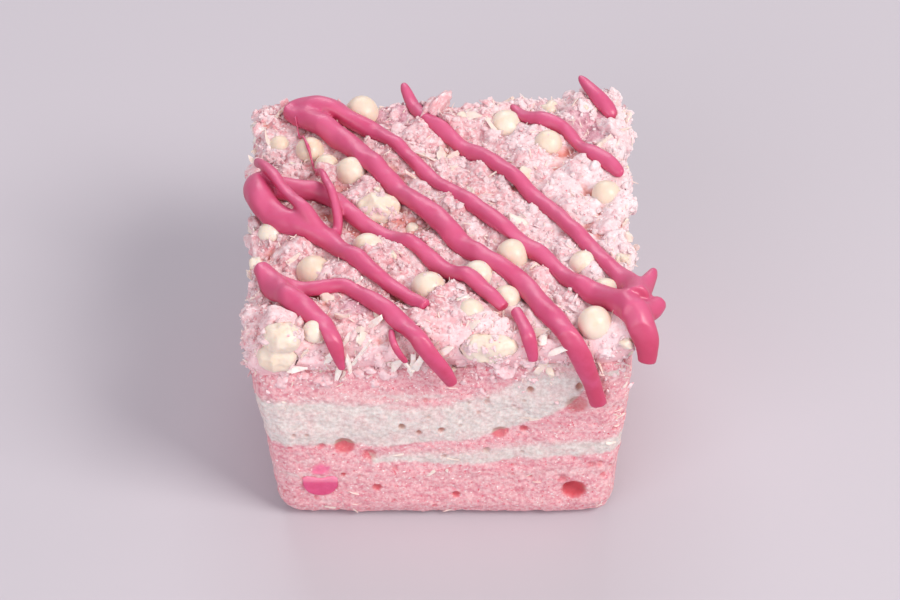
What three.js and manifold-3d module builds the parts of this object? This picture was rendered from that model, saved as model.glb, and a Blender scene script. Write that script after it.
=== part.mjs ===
// One square of swirled marshmallow, cut from a slab: pink foam with a broad white swirl and a thin one,
// under a topping of crumbs that is set with crisp white pearls and striped with pink candy drizzle.
// It stands on its flat foot. X runs along the cut front, Y goes back from it, Z is up, in millimetres.
import * as THREE from "three";
import { mergeVertices } from "three/addons/utils/BufferGeometryUtils.js";
import Module from "manifold-3d";

const wasm = await Module();
wasm.setup();

// ---- Driving dimensions ----
const FOOT_WIDTH = 60; // left to right, at the foot
const FOOT_DEPTH = 61; // front to back, at the foot
const FOAM_HEIGHT = 36.5; // foot to topping, in the middle
const LEAN = { left: 3.6, right: 2, front: 1, back: 1.8 }; // how far each side leans out over that height
const TOP_RISE = 0.055; // the top climbs to the right, in millimetres per millimetre
const CORNER_ROUND = 3.5; // how far the upright corners and the foot's edges are rounded in
const FOOT_ROUND = 5; // how far up the side the foot's rounding reaches
const TOPPING_HEIGHT = 9.5; // mean thickness of the crumb topping
const OVERHANG = 0.9; // how far the topping bulges out past the foam
const TOPPING_ROUND = 3; // rounding of the topping's upper edge
const RAGGEDNESS = 0.4; // how far the topping's sides wander in and out
const GAP = 0.3; // left between pieces that touch, on every piece that is cut to another
const CLEARANCE = 0.6; // between the drizzle and the facets of what it lies on
const RIDE = 0.22; // height of a strand's centre over what it lies on, as a share of its width
const FOAM_CELLS = [8, 8, 5]; // facets across each face of the foam, along X, Y and Z
const TOPPING_CELLS = [13, 13, 4];
const SWIRL_CELLS = 6; // facets of a swirl from front to back
const STRAND_SIDES = 6;
const STRAND_STEP = 4.2; // length of one facet along a strand
const SWIRL_LENGTH = 90; // long enough to run through the whole square

const FRONT = -FOOT_DEPTH / 2;
const PINK_FOAM = { color: "#eca6b2", roughness: 0.85, metalness: 0 };
const WHITE_FOAM = { color: "#ecdedb", roughness: 0.85, metalness: 0 };
const CRUMB = { color: "#f3d3d6", roughness: 0.9, metalness: 0 };
const WHITE_CHOCOLATE = { color: "#ecd9c2", roughness: 0.45, metalness: 0 };
const PINK_CANDY = { color: "#e0588f", roughness: 0.35, metalness: 0 };

// ---- From geometry to solids and back ----

function solidOf(geometry) {
  geometry.deleteAttribute("normal");
  geometry.deleteAttribute("uv");
  const merged = mergeVertices(geometry, 1e-4);
  return new wasm.Manifold(
    new wasm.Mesh({
      numProp: 3,
      vertProperties: merged.attributes.position.array,
      triVerts: new Uint32Array(merged.index.array),
    }),
  );
}

const square = new THREE.Group();

function addPiece(name, solid, finish) {
  const mesh = solid.getMesh();
  const geometry = new THREE.BufferGeometry();
  geometry.setAttribute("position", new THREE.BufferAttribute(mesh.vertProperties, 3));
  geometry.setIndex(new THREE.BufferAttribute(mesh.triVerts, 1));
  geometry.computeVertexNormals();
  const piece = new THREE.Mesh(geometry, new THREE.MeshStandardMaterial(finish));
  piece.name = name;
  square.add(piece);
}

// Moves every vertex of a geometry to where place(vertex) puts it.
function reshape(geometry, place) {
  const position = geometry.attributes.position;
  const point = new THREE.Vector3();
  for (let i = 0; i < position.count; i++) {
    place(point.fromBufferAttribute(position, i));
    position.setXYZ(i, point.x, point.y, point.z);
  }
  return geometry;
}

const largest = (solid) => solid.decompose().sort((a, b) => b.volume() - a.volume())[0];

// ---- The block: heights, lean and rounding that the foam and the topping share ----

// Draws the lines of a box's grid towards its edges, so that the rounding there has facets of its own.
const towardsEdges = (t) => t - 0.1 * Math.sin(2 * Math.PI * t);

const foamTop = (x) => FOAM_HEIGHT + TOP_RISE * x;

// Lumps of crumb a few millimetres across, and a hollow towards the right of the front.
function toppingTop(x, y) {
  const broadLumps = 0.9 * Math.sin(x / 5.1 + 1.2) * Math.cos(y / 4.6 - 0.4);
  const smallLumps = 0.5 * Math.sin(x / 3.2 - y / 3.9 + 2);
  const hollow = 1.6 * Math.exp(-((x - 19) ** 2 + (y + 17) ** 2) / 50);
  return foamTop(x) + TOPPING_HEIGHT + broadLumps + smallLumps - hollow;
}

// Rounds the edges of a box that is centred on the Z axis. Each of x, y and z says how far the point is
// into the rounding of its own side, from 0 to 1, and the three together are drawn in onto an ellipsoid.
// fromEnd is the point's distance from the end that is rounded, and what comes back is the new distance.
function roundEdges(point, halfWidth, halfDepth, fromEnd, inwards, alongZ) {
  const x = Math.max(0, Math.abs(point.x) - halfWidth + inwards) / inwards;
  const y = Math.max(0, Math.abs(point.y) - halfDepth + inwards) / inwards;
  const z = Math.max(0, alongZ - fromEnd) / alongZ;
  const share = Math.max(x, y, z) / Math.hypot(x, y, z) || 1;
  if (x) point.x = Math.sign(point.x) * (halfWidth - inwards + x * share * inwards);
  if (y) point.y = Math.sign(point.y) * (halfDepth - inwards + y * share * inwards);
  return z ? alongZ * (1 - z * share) : fromEnd;
}

// Leans the four sides out with height, and lets them wander a little, as sides cut by hand do.
function leanOut(point) {
  const up = point.z / FOAM_HEIGHT;
  const outX = (point.x < 0 ? LEAN.left : LEAN.right) + 0.5 * Math.sin(point.y / 9 + point.z / 7);
  const outY = (point.y < 0 ? LEAN.front : LEAN.back) + 0.5 * Math.sin(point.x / 10 + point.z / 8 + 1);
  point.x *= 1 + (outX / (FOOT_WIDTH / 2)) * up;
  point.y *= 1 + (outY / (FOOT_DEPTH / 2)) * up;
}

function foamBlock(margin = 0) {
  const halfWidth = FOOT_WIDTH / 2 + margin;
  const halfDepth = FOOT_DEPTH / 2 + margin;
  const box = new THREE.BoxGeometry(1, 1, 1, ...FOAM_CELLS);
  return solidOf(
    reshape(box, (point) => {
      point.x = (towardsEdges(point.x + 0.5) - 0.5) * 2 * halfWidth;
      point.y = (towardsEdges(point.y + 0.5) - 0.5) * 2 * halfDepth;
      point.z = towardsEdges(point.z + 0.5) * FOAM_HEIGHT;
      point.z = roundEdges(point, halfWidth, halfDepth, point.z, CORNER_ROUND, FOOT_ROUND);
      leanOut(point);
      point.z *= foamTop(point.x) / FOAM_HEIGHT;
    }),
  );
}

function toppingBlock(margin = 0) {
  const halfWidth = FOOT_WIDTH / 2 + margin;
  const halfDepth = FOOT_DEPTH / 2 + margin;
  const box = new THREE.BoxGeometry(1, 1, 1, ...TOPPING_CELLS);
  return solidOf(
    reshape(box, (point) => {
      const up = towardsEdges(point.z + 0.5);
      point.x = (towardsEdges(point.x + 0.5) - 0.5) * 2 * halfWidth;
      point.y = (towardsEdges(point.y + 0.5) - 0.5) * 2 * halfDepth;
      point.z = TOPPING_HEIGHT * up;
      const fromTop = TOPPING_HEIGHT - point.z;
      const down = roundEdges(point, halfWidth, halfDepth, fromTop, TOPPING_ROUND, TOPPING_ROUND);
      const share = 1 - down / TOPPING_HEIGHT;
      point.z = FOAM_HEIGHT;
      leanOut(point);
      // It starts flush with the foam's side and bulges out from there, raggedly.
      const ragged = RAGGEDNESS * Math.sin(point.x / 2.3 + point.y / 2.9 + 6 * share);
      const bulge = (OVERHANG + ragged) * Math.min(1, 6 * share);
      point.x *= 1 + bulge / halfWidth;
      point.y *= 1 + bulge / halfDepth;
      const low = foamTop(point.x) + GAP - margin;
      point.z = THREE.MathUtils.lerp(low, toppingTop(point.x, point.y) + margin, share);
    }),
  );
}

// ---- The white swirls, which run through the foam from front to back ----

// A swirl's outline on the front: its lower edge from left to right, then its upper edge back, both smooth.
function swirlOutline(lowerEdge, upperEdge) {
  const toPoints = (edge) => edge.map(([x, z]) => new THREE.Vector2(x, z));
  const outline = new THREE.Shape();
  outline.moveTo(...lowerEdge[0]);
  outline.splineThru(toPoints(lowerEdge.slice(1)));
  outline.lineTo(...upperEdge[0]);
  outline.splineThru(toPoints(upperEdge.slice(1)));
  outline.closePath();
  return outline.getPoints(2).slice(0, -1);
}

// The same outline, moved out by a distance along its own normals.
function grownOutline(points, distance) {
  return points.map((point, i) => {
    const before = points[(i + points.length - 1) % points.length];
    const after = points[(i + 1) % points.length];
    const along = after.clone().sub(before).normalize();
    return new THREE.Vector2(point.x + along.y * distance, point.y - along.x * distance);
  });
}

// Carries an outline through the foam. Behind the front it drifts sideways and up and down, as poured foam
// does.
function swirlSolid(outline) {
  const options = { depth: SWIRL_LENGTH, steps: SWIRL_CELLS, bevelEnabled: false };
  const bar = new THREE.ExtrudeGeometry(new THREE.Shape(outline), options);
  bar.rotateX(Math.PI / 2).translate(0, SWIRL_LENGTH / 2, 0);
  return solidOf(
    reshape(bar, (point) => {
      const behind = Math.max(0, point.y - FRONT);
      point.x += 3.5 * Math.sin(behind / 17);
      point.z += 2.4 * Math.sin(behind / 13) * Math.cos(point.x / 21);
    }),
  );
}

// The broad swirl comes in on the left, sags in the middle and climbs out through the top on the right.
const broadOutline = swirlOutline(
  [[-50, 21], [-30, 20], [-13, 19.5], [2, 20.5], [13, 24.5], [22, 31], [31, 48]],
  [[22, 50], [16, 38.5], [7, 31], [-5, 28], [-20, 29], [-50, 31.5]],
);
// The thin swirl starts inside the pink foam and runs out through the right side.
const thinOutline = swirlOutline(
  [[-13, 15.3], [3, 14.5], [19, 16.5], [34, 17.5], [50, 18]],
  [[50, 21], [34, 20.2], [19, 19.2], [3, 17], [-13, 16.3]],
);

// ---- The pits in the cut front: [x, z, diameter, depth] ----
const PITS = [
  [22.7, 7.6, 4.4, 2.6],
  [-18.2, 19.0, 3.8, 1.1],
  [-13.8, 16.8, 2.8, 0.9],
  [9.3, 22.2, 3.0, 1.0],
  [22.7, 29.6, 4.0, 1.0],
];

// Height z of the front's surface, in plan.
const frontAt = (z) => FRONT - (LEAN.front * z) / FOAM_HEIGHT;

function pitSolid([x, z, diameter, depth]) {
  // A ball whose cap, of this depth and diameter, is what it takes out of the face.
  const radius = (diameter * diameter) / 8 / depth + depth / 2;
  const ball = new THREE.SphereGeometry(radius, 9, 6);
  ball.translate(x, frontAt(z) + depth - radius, z);
  return solidOf(ball);
}

// ---- The candy drop that the front's cut went through ----
const DROP_AT = { x: -22.5, z: 9.6 };
const DROP_RADIUS = 3;

// A round-bottomed button with upright sides and a dished top, turned about a vertical axis.
function dropSolid(margin = 0) {
  const radius = DROP_RADIUS + margin;
  const profile = [new THREE.Vector2(0, -radius * 0.98)];
  for (const degrees of [-65, -40, -15]) {
    const angle = THREE.MathUtils.degToRad(degrees);
    profile.push(new THREE.Vector2(radius * Math.cos(angle), radius * Math.sin(angle)));
  }
  profile.push(new THREE.Vector2(radius, radius * 0.4), new THREE.Vector2(radius * 0.8, radius * 0.55));
  profile.push(new THREE.Vector2(0, radius * 0.3 + margin));
  const button = new THREE.LatheGeometry(profile, 16);
  button.rotateX(Math.PI / 2).translate(DROP_AT.x, frontAt(DROP_AT.z), DROP_AT.z);
  return solidOf(button);
}

// ---- The pearls, half sunk in the crumb: [x, y, diameter, height of the centre over the crumb] ----
const PEARLS = [
  [-15.6, 30.6, 5.8, 0.6],
  [-21.2, 28.8, 5.0, 0.2],
  [-24.8, 19.6, 5.0, -0.2],
  [-21.6, 15.4, 4.6, -0.4],
  [-17.2, 12.6, 5.2, -0.2],
  [-30.4, 22.6, 4.2, -0.5],
  [-23.3, -12.5, 5.8, 0.0],
  [-13.8, -8.0, 5.4, -0.4],
  [-31.0, -2.4, 4.8, -0.8],
  [-3.1, -18.4, 6.2, -0.4],
  [-10.4, -24.6, 5.2, -0.8],
  [5.6, -16.2, 5.4, -0.4],
  [11.6, -11.2, 5.4, -0.1],
  [10.4, -21.6, 5.4, -0.6],
  [4.2, -26.0, 5.2, -0.8],
  [11.0, 26.2, 6.4, -1.0],
  [18.4, 18.6, 5.0, -0.6],
  [28.6, 4.6, 5.0, -0.4],
  [24.2, -14.0, 5.2, -0.8],
  [27.6, -21.4, 5.0, -0.2],
  [-22.8, -30.0, 3.8, 0.8],
  [25.6, -29.6, 5.4, 0.6],
];

const pearlCentre = ([x, y, , lift]) => new THREE.Vector3(x, y, toppingTop(x, y) + lift);

function pearlSolid(pearl, margin = 0) {
  const radius = pearl[2] / 2 + margin;
  const centre = pearlCentre(pearl);
  const ball = new THREE.SphereGeometry(radius, 8, 6);
  ball.rotateX(centre.x).rotateY(centre.y).translate(centre.x, centre.y, centre.z);
  return solidOf(ball);
}

// The lumps of white chocolate, two in the front and one on top, as lobes: [x, y, z, width, depth, height].
const CHUNKS = {
  chunk_left: [[-28.2, -31.8, 45.6, 6.8, 5, 4.8], [-29.2, -31.6, 41.2, 6.8, 4.6, 5.4]],
  chunk_middle: [[7.4, -31.9, 43.4, 10, 4, 5.6]],
  chunk_top: [[-12.2, 2.6, 46.2, 7.6, 5.6, 4.4]],
};

function chunkSolid(lobes, margin = 0) {
  const lumps = lobes.map(([x, y, z, width, depth, height]) => {
    const lump = new THREE.IcosahedronGeometry(1, 1);
    lump.scale(width / 2 + margin, depth / 2 + margin, height / 2 + margin);
    lump.translate(x, y, z);
    return solidOf(lump);
  });
  return wasm.Manifold.union(lumps);
}

// ---- The drizzle ----

// Height of whatever a strand lies on at a place: the topping, or the dome of a pearl.
function support(x, y) {
  let height = toppingTop(x, y);
  for (const pearl of PEARLS) {
    const centre = pearlCentre(pearl);
    const inside = (pearl[2] / 2) ** 2 - (x - centre.x) ** 2 - (y - centre.y) ** 2;
    if (inside > 0) height = Math.max(height, centre.z + Math.sqrt(inside));
  }
  return height + CLEARANCE;
}

// Each strand is a list of [x, y, width], or of [x, y, width, z] where it stands free of the topping.
// The strands of one entry flow into each other and set as one piece.
const DRIZZLE = {
  // Poured to and fro: down to the right front corner, back to the left rear one, and over the front edge.
  drizzle_zigzag: [
    [[-8, 35.5, 2.2, 47.5], [-6.5, 31.5, 2.4], [-4.5, 27.5, 2.8], [2.5, 20, 3.2], [9.5, 12.5, 3.2],
      [16, 4, 3.2], [21, -3.5, 3.2], [25, -10, 3], [29, -16.5, 3.2], [32, -22, 4], [32.5, -27, 6]],
    [[-29, 30.5, 4.2], [-23, 29.5, 4], [-16, 26, 4.4], [-11, 21.5, 3.2], [-7.5, 17, 2.6],
      [-2, 9, 2.8], [5, 1, 3.2], [11.5, -7, 3.2], [16, -11.5, 3.4], [19.5, -15.5, 3], [22.5, -20, 3.4],
      [26.5, -23.5, 4], [31, -27.5, 5.2], [32, -30.5, 5.6]],
    [[-29.5, 30, 4.4], [-23, 24.5, 5], [-17.5, 19, 4.6], [-13, 12.5, 4], [-7.5, 5.5, 4], [-2, -1.5, 4.4],
      [2.5, -8, 4], [8, -14, 3.6], [12.5, -17.5, 3.8], [15, -22, 4], [18, -27.5, 4],
      [20.5, -32, 3.8, 47.5], [22.5, -34.4, 4.2, 45], [24, -34.6, 3.6, 40.5], [25.5, -33.8, 3, 35.5],
      [26.5, -33.6, 4, 31.5]],
    [[32.5, -26.5, 4], [34.5, -22.5, 3.6, 49], [36.2, -18.5, 1.8, 49.5]],
    [[32.5, -30, 4], [35, -28.5, 3.8, 48.5], [36.8, -26, 3.8, 48.5]],
    [[32, -29, 5.6], [34, -33, 5, 47.5], [35, -34, 4.6, 45], [34.5, -34.5, 4.2, 42]],
  ],
  // A blob on the left edge, with two strands that run out of it and a thin thread looped over them.
  drizzle_left: [
    [[-34, 11, 5.2, 44.5], [-34, 5, 6], [-30.5, 0, 5.8], [-26, -3.5, 4.6], [-21, -6, 4.2],
      [-17.5, -10.5, 3.6], [-13, -16, 3.2], [-8.5, -20, 2.8], [-3.5, -25, 2.4]],
    [[-34, 9, 5], [-27.5, 7.5, 4.8], [-22, 7, 4.2], [-18, 2, 3.6], [-13, -3, 3.2], [-6, -8, 3.2],
      [-1.5, -13, 3.2], [4, -18, 3.2], [7, -21.5, 3.2], [10, -25, 2.8]],
    [[-34.5, 16.5, 1.6], [-33, 11.5, 2, 49], [-29.5, 4.5, 2, 50.4], [-25.5, -1.5, 2.2, 50],
      [-21.5, -5.5, 3.2], [-19, -3.5, 2], [-20, 2, 1.4, 49], [-22, 8, 1.2, 50], [-23.5, 12.5, 1]],
  ],
  // A turn on the left edge, whose two strands both go over the front.
  drizzle_front_left: [
    [[-32.5, -13, 4.2], [-28, -17.5, 3.6], [-23, -19, 3.2], [-18.5, -18, 3], [-15, -21, 3],
      [-12, -24, 3.2], [-8.5, -27.5, 3.8], [-5, -32, 3.4, 46.5], [-3, -34.2, 3.2, 43.5],
      [-0.5, -34.4, 3, 40], [1, -33.8, 2.8, 36.5]],
    [[-32.5, -13.5, 4.4], [-29, -20, 5], [-24.5, -25, 4.6], [-20.5, -29.5, 3.8, 47], [-19, -33.5, 3, 44.5],
      [-18, -34, 1.4, 40]],
  ],
  drizzle_back_right: [
    [[12, 30.5, 1], [14, 27.5, 3], [17, 24.5, 3.6], [21.5, 22, 3], [23, 19.5, 2.2], [25, 16, 3.2],
      [28, 12.5, 3.4], [31.5, 8.5, 2.8]],
  ],
  drizzle_corner: [[[24.5, 34.5, 1.8, 50], [27, 31, 2.6], [29, 28.5, 4], [30.5, 25.5, 3.2]]],
  drizzle_fragment: [
    [[12, -26, 2.6], [13.5, -30, 2.4, 48], [14.5, -33.8, 2.8, 45.5], [15, -34, 2.2, 42]],
  ],
  drizzle_thread: [[[-9.5, -29.5, 1.2], [-9, -33.5, 1.2, 45], [-7, -33.8, 1.2, 41.5]]],
};

// How full a strand is at its two ends, which are rounded off a little.
const endShare = (step, steps) => (step === 0 || step === steps ? 0.8 : 1);

// A strand along its route: a bar bent along a smooth curve through the points, as thick there as they say,
// and pressed up where it would sink into what it lies on.
function strandSolid(route) {
  const path = new THREE.CatmullRomCurve3(
    route.map(([x, y, width, z]) => new THREE.Vector3(x, y, z ?? support(x, y) + width * RIDE)),
    false,
    "centripetal",
  );
  const steps = Math.max(3, Math.round(path.getLength() / STRAND_STEP));
  const { normals, binormals } = path.computeFrenetFrames(steps);
  const bar = new THREE.CylinderGeometry(1, 1, 1, STRAND_SIDES, steps);
  reshape(bar, (point) => {
    const step = Math.round((0.5 - point.y) * steps);
    const along = path.getUtoTmapping(step / steps) * (route.length - 1);
    const from = Math.min(Math.floor(along), route.length - 2);
    const width = THREE.MathUtils.lerp(route[from][2], route[from + 1][2], along - from);
    const radius = (width / 2) * endShare(step, steps);
    const out = normals[step].clone().multiplyScalar(point.x * radius);
    out.addScaledVector(binormals[step], point.z * radius);
    point.copy(path.getPointAt(step / steps)).add(out);
    const free = Math.abs(point.x) > FOOT_WIDTH / 2 + LEAN.left || point.y < frontAt(FOAM_HEIGHT);
    if (!free) point.z = Math.max(point.z, support(point.x, point.y));
  });
  const solid = solidOf(bar);
  if (solid.volume() < 0) throw new Error("a strand is inside out");
  return solid;
}

// ---- The pieces ----

const foam = foamBlock();
const pits = wasm.Manifold.union(PITS.map(pitSolid));
const broadGrown = swirlSolid(grownOutline(broadOutline, GAP));
const thinGrown = swirlSolid(grownOutline(thinOutline, GAP));
addPiece("foam_white_broad", largest(foam.intersect(swirlSolid(broadOutline)).subtract(pits)), WHITE_FOAM);
addPiece("foam_white_thin", largest(foam.intersect(swirlSolid(thinOutline)).subtract(pits)), WHITE_FOAM);

// The swirls cut the pink foam in two: what is under the broad one, and the lens over it.
const cutAway = broadGrown.add(thinGrown).add(pits).add(dropSolid(GAP));
const pinks = foam.subtract(cutAway).decompose();
pinks.sort((a, b) => b.volume() - a.volume());
addPiece("foam_pink_lower", pinks[0], PINK_FOAM);
addPiece("foam_pink_upper", pinks[1], PINK_FOAM);
addPiece("candy_drop", largest(dropSolid().intersect(foamBlock(GAP))), PINK_CANDY);

const chunksGrown = wasm.Manifold.union(Object.values(CHUNKS).map((chunk) => chunkSolid(chunk, GAP)));
addPiece("crumb_topping", largest(toppingBlock().subtract(chunksGrown)), CRUMB);

const toppingGrown = toppingBlock(GAP);
PEARLS.forEach((pearl, i) => {
  const number = String(i + 1).padStart(2, "0");
  addPiece(`pearl_${number}`, largest(pearlSolid(pearl).subtract(toppingGrown)), WHITE_CHOCOLATE);
});
for (const [name, chunk] of Object.entries(CHUNKS)) {
  addPiece(name, largest(chunkSolid(chunk).subtract(foamBlock(GAP))), WHITE_CHOCOLATE);
}

const pearlsGrown = wasm.Manifold.union(PEARLS.map((pearl) => pearlSolid(pearl, GAP)));
const underDrizzle = toppingGrown.add(pearlsGrown).add(chunksGrown).add(foamBlock(GAP));
for (const [name, strands] of Object.entries(DRIZZLE)) {
  const poured = wasm.Manifold.union(strands.map(strandSolid));
  addPiece(name, largest(poured.subtract(underDrizzle)), PINK_CANDY);
}

// The origin is under the middle of the whole square, on the surface it stands on.
const bounds = new THREE.Box3().setFromObject(square);
const middle = bounds.getCenter(new THREE.Vector3());
square.position.set(-middle.x, -middle.y, -bounds.min.z);

export default square;
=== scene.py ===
import math
from itertools import product

import bmesh
import bpy
import numpy as np
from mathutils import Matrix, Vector
from mathutils.bvhtree import BVHTree


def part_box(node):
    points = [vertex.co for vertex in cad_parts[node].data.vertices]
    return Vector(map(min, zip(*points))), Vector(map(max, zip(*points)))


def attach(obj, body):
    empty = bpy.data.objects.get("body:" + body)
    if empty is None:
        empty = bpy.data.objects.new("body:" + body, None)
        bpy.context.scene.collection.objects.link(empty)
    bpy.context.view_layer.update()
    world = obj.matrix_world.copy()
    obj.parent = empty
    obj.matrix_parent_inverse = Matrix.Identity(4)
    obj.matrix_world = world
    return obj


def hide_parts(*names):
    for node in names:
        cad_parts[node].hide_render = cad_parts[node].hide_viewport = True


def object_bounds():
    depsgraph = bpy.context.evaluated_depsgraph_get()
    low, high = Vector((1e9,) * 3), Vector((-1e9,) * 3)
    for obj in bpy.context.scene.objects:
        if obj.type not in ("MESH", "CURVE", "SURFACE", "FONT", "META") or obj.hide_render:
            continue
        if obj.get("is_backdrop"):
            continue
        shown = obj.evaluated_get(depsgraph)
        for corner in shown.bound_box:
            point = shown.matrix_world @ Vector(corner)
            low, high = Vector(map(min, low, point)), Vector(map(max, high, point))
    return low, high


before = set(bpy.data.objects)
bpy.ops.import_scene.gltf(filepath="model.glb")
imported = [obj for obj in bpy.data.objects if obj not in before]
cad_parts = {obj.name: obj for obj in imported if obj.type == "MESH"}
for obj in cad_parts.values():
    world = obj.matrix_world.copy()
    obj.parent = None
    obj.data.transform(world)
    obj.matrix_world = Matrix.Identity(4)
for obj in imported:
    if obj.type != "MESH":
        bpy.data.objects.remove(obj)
cad_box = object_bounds()

# --- The camera ---------------------------------------------------------------------------------------
# It looks at the cut front and down on the topping, so that both faces show about equally well. It stands
# well back with a long lens, so that the sides of the square hardly run together.

MM = 0.001
ELEVATION = math.radians(42)
DISTANCE = 0.68
FOCAL_LENGTH = 150  # a camera counts this in millimetres
AIM_SHIFT = Vector((0, -1 * MM, 0.5 * MM))  # from the middle of the object, to centre it in the picture

lowest, highest = (Vector(corner) for corner in cad_box)
aim = (lowest + highest) / 2 + AIM_SHIFT
lens = bpy.data.cameras.new("camera")
lens.lens = FOCAL_LENGTH
camera = bpy.data.objects.new("camera", lens)
camera.location = aim + DISTANCE * Vector((0, -math.cos(ELEVATION), math.sin(ELEVATION)))
camera.rotation_euler = (math.pi / 2 - ELEVATION, 0, 0)
bpy.context.scene.collection.objects.link(camera)
bpy.context.scene.camera = camera

# --- The marshmallow foam -----------------------------------------------------------------------------
# Whipped sugar foam, poured pink and white so that the white runs through it in two swirls, left to set,
# and cut into squares with a wet knife. The cut opens its air bubbles, whose shade is painted inside them in
# a deeper pink.

FOAM_NODES = ("foam_pink_lower", "foam_pink_upper", "foam_white_broad", "foam_white_thin")
FOAM_SKIN = 0.5 * MM  # size of a face of its mesh; those of the cut front are half as large
FRONT_DEEP = 4 * MM  # what lies no further back than this, and faces forward, is the cut front
HIDDEN_ABOVE = 33 * MM  # over this, what faces up is under the topping
SEAM_RISE = 0.055  # the seam with the topping climbs to the right
INTO_TOPPING = 1.6 * MM  # the foam's upper edge reaches into the topping, so that no gap shows
EDGE_BAND = 7 * MM  # the height of foam that is stretched for that
SHARP = math.radians(75)  # where facets meet at more than this, a rounded piece keeps its edge,
CUT_BEFORE = -20 * MM  # but only in front of this, where the knife cut what was poured
NEARLY_FLAT = math.radians(40)  # facets that meet at less than this are taken for one smooth surface
WELD = 0.01 * MM

randoms = np.random.default_rng(11)
RANDOM_TABLE = np.random.default_rng(5).random((4096, 3))
CELL_SCATTER = (73856093, 19349663, 83492791)  # so large that neighbouring cells get unlike numbers
SEED_SCATTER = 2654435
WAVE_SCALE = 1.6  # brings the waves to about -1 to 1


def cast_of(name, nodes, grown, skin, softening, rounding=0):
    """One closed mesh over the named solids: grown a little, so that they join, and softened at its edges.

    With rounding, their facets are first turned into a smooth surface, which keeps the sharp edges."""
    shape = bmesh.new()
    for node in nodes:
        shape.from_mesh(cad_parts[node].data)
    bmesh.ops.remove_doubles(shape, verts=shape.verts, dist=WELD)
    if rounding:
        limits = {"angle_face_threshold": NEARLY_FLAT, "angle_shape_threshold": NEARLY_FLAT}
        bmesh.ops.join_triangles(shape, faces=shape.faces, **limits)
        crease = shape.edges.layers.float.new("crease_edge")
        for edge in shape.edges:
            edge[crease] = float(edge.calc_face_angle(0) > SHARP and edge.verts[0].co.y < CUT_BEFORE)
    shape.normal_update()
    for vert in shape.verts:
        vert.co += vert.normal * grown
    mesh = bpy.data.meshes.new(name)
    shape.to_mesh(mesh)
    shape.free()
    piece = bpy.data.objects.new(name, mesh)
    bpy.context.scene.collection.objects.link(piece)
    if rounding:
        piece.modifiers.new("rounded", "SUBSURF").levels = rounding
    remesh = piece.modifiers.new("skin", "REMESH")
    remesh.mode = "VOXEL"
    remesh.voxel_size = skin
    piece.modifiers.new("softened", "SMOOTH").iterations = softening
    bpy.context.view_layer.update()
    shaped = piece.evaluated_get(bpy.context.evaluated_depsgraph_get())
    piece.data = bpy.data.meshes.new_from_object(shaped)
    piece.modifiers.clear()
    piece.data.name = name
    piece.data.materials.clear()
    return piece


def flatten(mesh, hides):
    """Makes one face of all the faces that hides(face) picks, which are on a side that isn't seen."""
    shape = bmesh.new()
    shape.from_mesh(mesh)
    bmesh.ops.delete(shape, geom=[face for face in shape.faces if hides(face)], context="FACES")
    bmesh.ops.contextual_create(shape, geom=[edge for edge in shape.edges if edge.is_boundary])
    shape.to_mesh(mesh)
    shape.free()


def points_of(mesh):
    numbers = np.empty(len(mesh.vertices) * 3, np.float32)
    mesh.vertices.foreach_get("co", numbers)
    return numbers.reshape(-1, 3).astype(float)


def normals_of(mesh):
    numbers = np.empty(len(mesh.vertices) * 3, np.float32)
    mesh.vertex_normals.foreach_get("vector", numbers)
    return numbers.reshape(-1, 3).astype(float)


def move_points(mesh, points):
    mesh.vertices.foreach_set("co", points.astype(np.float32).ravel())
    mesh.update()


def swell(mesh, points, relief):
    """Moves a mesh's vertices to new points, raised along their normals by a relief in millimetres."""
    move_points(mesh, points + normals_of(mesh) * (relief * MM)[:, None])


def paint(mesh, name, values):
    """Keeps a number for each vertex, which a material reads by its name."""
    layer = mesh.attributes.new(name, "FLOAT", "POINT")
    layer.data.foreach_set("value", np.asarray(values, np.float32))


def lattice_random(cells, seed):
    """Three numbers from 0 to 1 for each cell of a grid, always the same ones for the same cell and seed."""
    x, y, z = (cells.astype(np.int64) * CELL_SCATTER).T
    return RANDOM_TABLE[(x ^ y ^ z ^ (seed * SEED_SCATTER)) % len(RANDOM_TABLE)]


def waves(points, size, seed):
    """Smooth bumps and hollows of a size, from about -1 to 1."""
    grid = points / size
    cell = np.floor(grid)
    part = grid - cell
    fade = part**3 * (part * (part * 6 - 15) + 10)
    total = np.zeros(len(points))
    for corner in product((0, 1), repeat=3):
        slope = lattice_random(cell + corner, seed) * 2 - 1
        weight = np.where(corner, fade, 1 - fade).prod(axis=1)
        total += weight * ((part - corner) * slope).sum(axis=1)
    return total * WAVE_SCALE


def relief_of(points, *swells):
    """The sum of some waves, each given by its height and its size in millimetres, and its seed."""
    return sum(height * waves(points, size * MM, seed) for height, size, seed in swells)


def clots(points, size, seed):
    """How far each point is from the nearest of many scattered clots, in clot sizes, and a number from 0 to
    1 that is that clot's own."""
    grid = points / size
    cell = np.floor(grid)
    nearest = np.full(len(points), np.inf)
    number = np.zeros(len(points))
    for offset in product((-1, 0, 1), repeat=3):
        centre = lattice_random(cell + offset, seed)
        distance = np.linalg.norm(cell + offset + centre - grid, axis=1)
        closer = distance < nearest
        nearest[closer] = distance[closer]
        number[closer] = centre[closer, 0] * 7 % 1
    return nearest, number


def smoothstep(low, high, values):
    share = np.clip((values - low) / (high - low), 0, 1)
    return share * share * (3 - 2 * share)


foam = cast_of("marshmallow_foam", FOAM_NODES, grown=0.25 * MM, skin=FOAM_SKIN, softening=3)
foam_low, foam_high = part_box("foam_pink_lower")
flatten(foam.data, lambda face: face.normal.z > 0.9 and face.calc_center_median().z > HIDDEN_ABOVE)
flatten(foam.data, lambda face: face.normal.z < -0.99 and face.calc_center_median().z < 0)

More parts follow.
